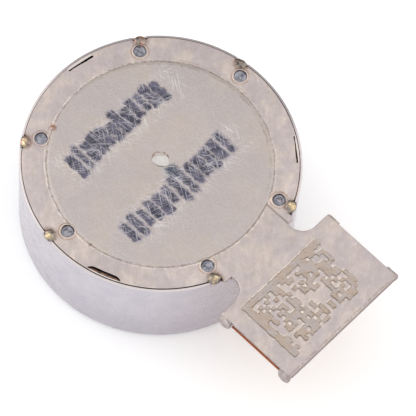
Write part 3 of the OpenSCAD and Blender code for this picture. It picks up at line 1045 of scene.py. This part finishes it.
def coined_disc():
    """The raised disc, with a hole for the seal and a slightly uneven edge."""
    profile = raised(PLATE_Z, (SEAL_HOLE_R, 0.01), (DISC_SEAT, 0.01))
    profile += raised(RIM_Z, (DISC_SEAT, -0.05), (DISC_R + 0.01, -0.03), (DISC_R, -0.006), (4.0, 0.003))
    profile += raised(DISC_Z, (3.93, -0.005), (3.89, 0), (2.5, 0), (1.2, 0), (0.26, 0))
    profile += raised(DISC_Z, (0.215, -0.008), (SEAL_HOLE_R, -0.03))
    points, faces = spin(profile, 720, closed=True)
    radius, turn = cylinder(points)
    wobble = 0.008 * np.sin(9 * turn + 1) * np.sin(23 * turn)
    wobble += 0.006 * np.sin(41 * turn) * np.sin(67 * turn + 2)
    edge = radius > 3.8
    points[edge, :2] *= (1 + wobble[edge] / DISC_R)[:, None]
    points[radius > 3, :2] += DISC_SHIFT
    return clear_welds(points), faces


def neck_foot(side):
    """The slope by which the neck rises from the ring."""
    section = raised(RIM_Z, (-0.06, -0.03), (0.07, -0.03), (0.07, 0.001), (0.03, 0.012), out=NECK_HALF)
    section += raised(TAB_Z, (-0.02, -0.012), (-0.06, -0.006), out=NECK_HALF)
    points, faces = tube([[(x, side * y, z) for y, z in section] for x in (3.79, SHOULDER_X + 0.02)])
    return points, faces if side > 0 else [f[::-1] for f in faces]


def ear(x_start, side):
    """One ear, bent down over the head's side and rounded at its foot."""
    y_mid = EAR_OUT - EAR_T / 2
    z_mid = TAB_Z - EAR_T / 2 - 0.006
    bend, half, quarter = 0.13, EAR_W / 2, math.pi / 2
    path = [(y_mid - bend - 0.12, z_mid, 0.0), (y_mid - bend - 0.04, z_mid, 0.0)]
    for t in np.linspace(0, quarter, 9):
        path.append((y_mid - bend + bend * math.sin(t), z_mid - bend + bend * math.cos(t), t))
    path += [(y_mid, z, quarter) for z in np.linspace(z_mid - bend - 0.05, EAR_LOW + half, 3)]
    widths = [half] * len(path)
    for t in np.linspace(0, quarter, 12)[1:]:
        path.append((y_mid, EAR_LOW + half - half * math.sin(t) * 0.995, quarter))
        widths.append(max(half * math.cos(t), 0.03))
    points = [np.array([x_start + half, side * y, z]) for y, z, _ in path]
    sideways = [np.array([-side, 0, 0])] * len(path)
    upwards = [np.array([0, side * math.sin(t), math.cos(t)]) for _, _, t in path]
    return sweep(points, widths, sideways, upwards, EAR_T, 0.035)


# Welds and seal


def crater_lip(angle, seed):
    """Raised metal around one spring weld."""
    hole, crest, foot = 0.232, 0.264, 0.325
    profile = raised(PLATE_Z, (hole, 0.05), (foot, 0.05))
    profile += raised(RIM_Z, (foot, -0.02), (foot - 0.02, 0.001), (crest + 0.035, 0.012), (crest, 0.026))
    profile += raised(RIM_Z, (crest - 0.025, 0.016), (hole + 0.006, -0.02), (hole, -0.06))
    points, faces = spin(profile, 64, closed=True)
    _, a = cylinder(points)
    rng = np.random.RandomState(seed)
    wave = sum(rng.uniform(-1, 1) * np.sin(k * a + rng.uniform(0, TAU)) for k in range(1, 6))
    above = points[:, 2] > RIM_Z
    points[above, 2] += 0.004 * wave[above]
    points[:, :2] *= (1 + 0.012 * wave)[:, None]
    return at_weld(points, faces, angle)


def crater_floor(angle, seed):
    """Crumpled weld metal at the bottom of one spring weld."""
    radius, top, base = 0.242, RIM_Z - 0.12, PLATE_Z + 0.005
    bowl = [(r, top + 0.07 * (r / radius) ** 8) for r in np.linspace(0, radius, 13)[:0:-1]]
    points, faces = spin([(0, base), (radius, base), *bowl, (0, top)], 48)
    rng = np.random.RandomState(seed)
    upper = points[:, 2] > PLATE_Z + 0.05
    p = points[upper, :2]
    bump = np.zeros(len(p))
    for _ in range(8):
        wave = rng.normal(0, 9, 2)
        bump += np.abs(np.sin(p @ wave + rng.uniform(0, TAU))) - 0.6
    points[upper, 2] += 0.008 * bump * np.clip((0.23 - np.hypot(*p.T)) / 0.06, 0, 1)
    return at_weld(points, faces, angle)


def melt(seed, size, at, angle):
    """An uneven rounded lump of melted metal, with three half sizes."""
    t = np.linspace(0, math.pi, 21)
    points, faces = spin(np.column_stack([np.sin(t), -np.cos(t)]), 40)
    rng = np.random.RandomState(seed)
    wave = np.zeros(len(points))
    for _ in range(7):
        wave += rng.uniform(0.3, 1) * np.sin(points @ rng.normal(0, 2.6, 3) + rng.uniform(0, TAU))
    return place((points * (1 + 0.035 * wave)[:, None] * size, faces), at, angle)


def seal_blob():
    """The plug in the middle hole, with a lumpy outline above the disc."""
    stem = SEAL_HOLE_R - 0.002
    profile = raised(PLATE_Z, (0, 0.005), (stem, 0.005)) + raised(DISC_Z, (stem, -0.03), (0.225, -0.004))
    profile += raised(DISC_Z, (0.235, 0.004), (0.2, 0.012), (0.14, 0.012), (0.07, 0.005), (0, 0.002))
    points, faces = spin(profile, 64)
    radius, a = cylinder(points)
    wave = 1.7 * np.cos(2 * a - 1.3) + 0.4 * np.sin(3 * a + 2) + 0.6 * np.sin(5 * a + 1) + 0.5
    share = np.clip((points[:, 2] - DISC_Z + 0.01) / 0.006, 0, 1) * radius / 0.2
    push = 1 + 0.1 * wave * share
    return np.column_stack([points[:, :2] * push[:, None], points[:, 2] + 0.003 * share * wave]), faces


# Inside


def flex_outline():
    """The flexible circuit: a disc over the coil, a neck, and a head with room for the ears."""
    radius, half, notch = 2.6, 1.25, 0.13
    out = HEAD_HALF + 0.035
    start, end = HEAD_START + 0.01, TAB_END - 0.07
    first, last = HEAD_START + EAR_W + 0.03, TAB_END - EAR_W - 0.03
    mouth = math.degrees(math.asin(half / radius))
    right = [(start, -half), (start, -out + notch), (first, -out + notch), (first, -out)]
    right += [(last, -out), (last, -out + notch), (end, -out + notch)]
    disc = arc((0, 0), radius, mouth, 360 - mouth, 140)
    return np.vstack([disc, right, [(x, -y) for x, y in reversed(right)]])


def spring_arm():
    """One arm of the spring, which falls from the outer ring to the inner one as it turns."""
    t = np.linspace(0, 1, 90)
    ease = t * t * (3 - 2 * t)
    z = SPRING_TOP - SPRING_T / 2 + (SPRING_LOW - SPRING_TOP + SPRING_T) * ease
    turn = np.radians(SPRING_ARM_START + SPRING_ARM_TURN * t)
    path = np.column_stack([polar(SPRING_ARM[0] + (SPRING_ARM[1] - SPRING_ARM[0]) * ease, turn), z])
    out = np.column_stack([polar(1, turn), np.zeros_like(t)])
    along = unit(np.gradient(path, axis=0))
    side = unit(out - along * np.sum(out * along, 1, keepdims=True))
    up = np.cross(side, along)
    up *= np.sign(up[:, 2:3])
    return sweep(path, [SPRING_ARM_HALF] * len(path), np.cross(up, along), up, SPRING_T * 0.9, 0.015)


def spring_shells():
    """The outer ring, open where the neck passes, the inner ring and the three arms."""
    mouth = math.degrees(math.asin(1.35 / 4.36))
    outer = arc((0, 0), SPRING_OUTER[1], mouth, 360 - mouth, 200)
    inner = arc((0, 0), SPRING_OUTER[0], 360 - mouth - 1, mouth + 1, 180)
    hole = circle(SPRING_INNER[0], 128, clockwise=True)
    return [
        sheet(np.vstack([outer, inner]), [], SPRING_TOP - SPRING_T, SPRING_TOP, 0.015),
        sheet(circle(SPRING_INNER[1], 128), [hole], SPRING_LOW, SPRING_LOW + SPRING_T, 0.015, 3, 0.015),
    ] + [place(spring_arm(), turn=120 * k) for k in range(3)]


def coil_shell():
    """Turns of wire that show on both walls."""
    bottom, top = span("voice_coil")
    count = int((top - bottom) / WIRE)
    lay = (top - bottom) / count
    rise = [(i, t) for i in range(count) for t in np.linspace(0, math.pi, 5)[:-1]]
    wall = [(0.015 * (1 - math.sin(t)), bottom + lay * (i + t / math.pi)) for i, t in rise]
    profile = [(COIL_R - dip, z) for dip, z in wall] + [(COIL_HOLE_R + dip, z) for dip, z in reversed(wall)]
    return spin(profile, 128, closed=True)


def solder_dome(side):
    """A solder dome that hangs under the flexible circuit."""
    radius, drop = 0.22, 0.18
    turns = np.linspace(0, math.pi / 2, 10)[1:]
    bulge = [(radius * math.sin(t), FLEX_LOW - drop * math.cos(t)) for t in turns]
    profile = [(0, FLEX_LOW - drop), *bulge, (radius * 0.96, FLEX_LOW), (0, FLEX_LOW)]
    return place(spin(profile, 48), (JOINT_X, side * JOINT_Y, 0))


def cup_shell():
    """The yoke cup, drawn with round corners."""
    (bottom, top), r = span("yoke_cup"), high("yoke_cup").x
    wall, base, bend, inner_bend, edge = 0.2, 0.15, 0.2, 0.08, 0.02
    profile = [(0, bottom), *arc((r - bend, bottom + bend), bend, -90, 0, 8)]
    profile += [(r, top - edge), (r - edge, top), (r - wall + edge, top), (r - wall, top - edge)]
    corner = (r - wall - inner_bend, bottom + base + inner_bend)
    return spin([*profile, *arc(corner, inner_bend, 0, -90, 5), (0, bottom + base)], 128)


# Build


def outside():
    plate = plate_material()
    piece("can_drawn", "can", can_material(), [can_shell()])

    hole = circle(SPRING_WELD_HOLE_R, 40, clockwise=True)
    holes = [hole + weld_centre(a) for a in SPRING_WELD_ANGLES]
    holes += [stake_slot(*stake, 60 + i) for i, stake in enumerate(STAKES)]
    holes.append(circle(RING_BORE, 200, clockwise=True))
    shapes = [sheet(ring_outline(), holes, PLATE_Z, RIM_Z, 0.02, 4)]
    shapes += [crater_lip(a, 30 + i) for i, a in enumerate(SPRING_WELD_ANGLES)]
    shapes += [slot_wedge(*STAKES[-1]), flared_tab(), disc_bead()]
    for side in (1, -1):
        shapes += [neck_foot(side), ear(HEAD_START, side), ear(TAB_END - EAR_W, side)]
    piece("plate_ring_and_tab", "base_plate", plate, shapes)
    piece("plate_field", "base_plate", field_material(), [field_patch()])
    piece("plate_disc", "base_plate", disc_material(), [coined_disc()])


def welds_and_seal(spot):
    floors = [crater_floor(a, 50 + i) for i, a in enumerate(SPRING_WELD_ANGLES)]
    piece("spring_weld_floors", "spring_welds", spot, floors)
    melts = []
    for i, a in enumerate(RIM_WELD_ANGLES):
        melts.append(melt(70 + i, (0.22, 0.27, 0.09), (CAN_R - 0.185, 0, RIM_Z - 0.06), a))
        melts.append(melt(90 + i, (0.0704, 0.216, 0.108), (CAN_R - 0.055, 0, RIM_Z - 0.1), a))
    piece("rim_weld_nuggets", "rim_welds", tinted_weld_material(), melts)
    glue = film("seal_glue", (0.47, 0.44, 0.41), (0.62, 0.59, 0.56), 0.4, 0.4)
    piece("seal_blob", "centre_seal", glue, [seal_blob()])


def circuit_and_coil():
    """The flexible circuit's base film, its cover film with two windows for the pads, and the coil."""
    polyimide = film("polyimide", (0.30, 0.075, 0.02), (0.42, 0.12, 0.03), 0.25, 0.6)
    (x0, x1), gap = PAD_X, 0.06
    windows = [block(x0 - gap, y0 - gap, x1 + gap, y1 + gap, PAD_ROUND)[::-1] for y0, y1 in PAD_Y]
    base = sheet(flex_outline(), [], FLEX_LOW + 0.035, FLEX_TOP, 0.012)
    cover = sheet(inset(flex_outline(), 0.012), windows, FLEX_LOW, COVER_TOP, 0.008, 3, 0.008)
    piece("flex_films", "flex_circuit", polyimide, [base, cover])
    gold = metal("pad_gold", (0.80, 0.55, 0.22), (0.86, 0.62, 0.28), 0.28)
    pads = [sheet(block(x0, y0, x1, y1, PAD_ROUND), [], PAD_LOW, COVER_TOP, 0.012) for y0, y1 in PAD_Y]
    piece("gold_pads", "contact_pads", gold, pads)

    glue = film("coil_glue", (0.55, 0.42, 0.20), (0.68, 0.55, 0.30), 0.2, 0.8)
    ring = washer((1.55, 2.4), *span("coil_adhesive"), 0.012)
    piece("coil_glue_ring", "coil_adhesive", glue, [ring])
    piece("coil_turns", "voice_coil", coil_material(), [coil_shell()])
    z = FLEX_LOW - 0.07
    leads = [rod((COIL_R + 0.01, y, z), (JOINT_X, y, z), 0.03) for y in (JOINT_Y, -JOINT_Y)]
    copper = metal("copper_wire", (0.62, 0.24, 0.12), (0.74, 0.33, 0.17), 0.3)
    piece("lead_wires", "coil_leads", copper, leads)
    tin = metal("solder", (0.52, 0.52, 0.54), (0.66, 0.66, 0.68), 0.22, 8, 0.01)
    piece("solder_domes", "solder_joints", tin, [solder_dome(side) for side in (1, -1)])


def spring_and_stops():
    steel = metal("spring_steel", (0.36, 0.35, 0.34), (0.48, 0.47, 0.45), 0.32, 24, 0.003, streak=15)
    blade = piece("spring_blade", "leaf_spring", steel, spring_shells(), body=None)
    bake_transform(blade)
    foam = foam_material()
    stop = puck(STOP_R, *span("upper_damper"), 0.04)
    piece("stop_foam", "upper_damper", foam, [stop])
    cushion = washer(CUSHION, *span("lower_damper"), 0.04)
    piece("floor_foam", "lower_damper", foam, [cushion])


def vibrator(spot):
    steel = metal("yoke_steel", (0.42, 0.42, 0.43), (0.52, 0.52, 0.53), 0.3)
    piece("cup_drawn", "yoke_cup", steel, [cup_shell()], "vibrator")
    chrome = metal("magnet_nickel", (0.50, 0.50, 0.51), (0.58, 0.58, 0.59), 0.16, 10, 0.004)
    core = puck(MAGNET_R, *span("magnet"), 0.06)
    piece("magnet_core", "magnet", chrome, [core], "vibrator")
    pole = puck(MAGNET_R, *span("pole_plate"), 0.04)
    piece("pole_disc", "pole_plate", steel, [pole], "vibrator")
    mass = washer(WEIGHT, *span("weight"), 0.12, 192)
    piece("weight_ring", "weight", tungsten_material(), [mass], "vibrator")
    dot = puck(0.12, *span("mass_welds"), 0.012, 32)
    dots = [place(dot, (2.95, 0, 0), a) for a in (8, 128, 248)]
    piece("mass_weld_dots", "mass_welds", spot, dots, "vibrator")


def build():
    spot = spot_weld_material()
    outside()
    welds_and_seal(spot)
    circuit_and_coil()
    spring_and_stops()
    vibrator(spot)
    tape = film("film_glue", (0.56, 0.52, 0.38), (0.66, 0.62, 0.48), 0.5, 0.1)
    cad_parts["flex_adhesive"].data.materials.clear()
    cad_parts["flex_adhesive"].data.materials.append(tape)


# Studio

CAMERA_AT = (1.855, 0.065, 118.335)
CAMERA_ANGLES = (38.037, 65.01, 6.796)
FOCAL = 281.8558
LAMP_DISTANCE = 0.2


def direction(azimuth, height):
    """The direction of a place seen from the motor, at this azimuth from -Y and this height in degrees."""
    a, e = math.radians(azimuth), math.radians(height)
    return Vector((math.sin(a) * math.cos(e), -math.cos(a) * math.cos(e), math.sin(e)))


def sky():
    """Soft white surroundings that turn darker and browner towards the horizon behind the motor."""
    world = bpy.data.worlds.new("studio")
    bpy.context.scene.world = world
    world.use_nodes = True
    g = Graph(world.node_tree)
    behind = g.vector("DOT_PRODUCT", g.node("ShaderNodeTexCoord").outputs["Generated"], (-0.62, 0.79, 0))
    shade = g.ramp(
        behind * 0.5 + 0.5,
        (0.0, (1.0, 1.0, 1.0)),
        (0.35, (0.97, 0.97, 0.98)),
        (0.83, (0.94, 0.94, 0.95)),
        (0.98, (0.34, 0.30, 0.25)),
    )
    background = world.node_tree.nodes["Background"]
    g.feed(background.inputs["Color"], shade)
    background.inputs["Strength"].default_value = 1.1


def lamp(name, azimuth, height, size, power):
    at = direction(azimuth, height) * LAMP_DISTANCE
    light = bpy.data.lights.new(name, "AREA")
    light.shape = "DISK"
    light.size = size
    light.energy = power
    obj = bpy.data.objects.new(name, light)
    obj.location = at
    obj.rotation_euler = (-at).to_track_quat("-Z", "Y").to_euler()
    bpy.context.scene.collection.objects.link(obj)


def studio():
    g = Surface("pale_floor")
    g.colour = g.mix(g.noise(0.02, 4), (0.93, 0.93, 0.93), (0.96, 0.96, 0.96))
    g.bump(g.noise(0.5, 3), 0.02)
    bpy.ops.mesh.primitive_plane_add(size=1.2, location=(0, 0, -0.02 * MM))
    floor = bpy.context.object
    floor.name = "floor"
    floor.data.materials.append(g.finish(roughness=0.8, emission_color=(1, 1, 1), emission_strength=0.15))
    sky()
    lamp("left_light", 290, 45, 0.16, 0.05)
    lamp("right_light", 150, 50, 0.2, 0.03)


def camera():
    """The camera, at CAMERA_AT along its own right, up and back directions."""
    azimuth, elevation, roll = CAMERA_ANGLES
    back = direction(azimuth, elevation)
    right = direction(azimuth + 90, 0)
    up = back.cross(right)
    c, s = math.cos(math.radians(roll)), math.sin(math.radians(roll))
    right, up = right * c + up * s, up * c - right * s
    data = bpy.data.cameras.new("camera")
    data.sensor_width = 36
    data.lens = FOCAL
    data.clip_start = 0.005
    data.clip_end = 10
    obj = bpy.data.objects.new("camera", data)
    turn = Matrix((right, up, back)).transposed().to_4x4()
    turn.translation = (right * CAMERA_AT[0] + up * CAMERA_AT[1] + back * CAMERA_AT[2]) * MM
    obj.matrix_world = turn
    bpy.context.scene.collection.objects.link(obj)
    bpy.context.scene.camera = obj


build()
studio()
camera()
view = bpy.context.scene.view_settings
view.view_transform = "Standard"
view.look = "None"
view.exposure = 0
view.gamma = 1
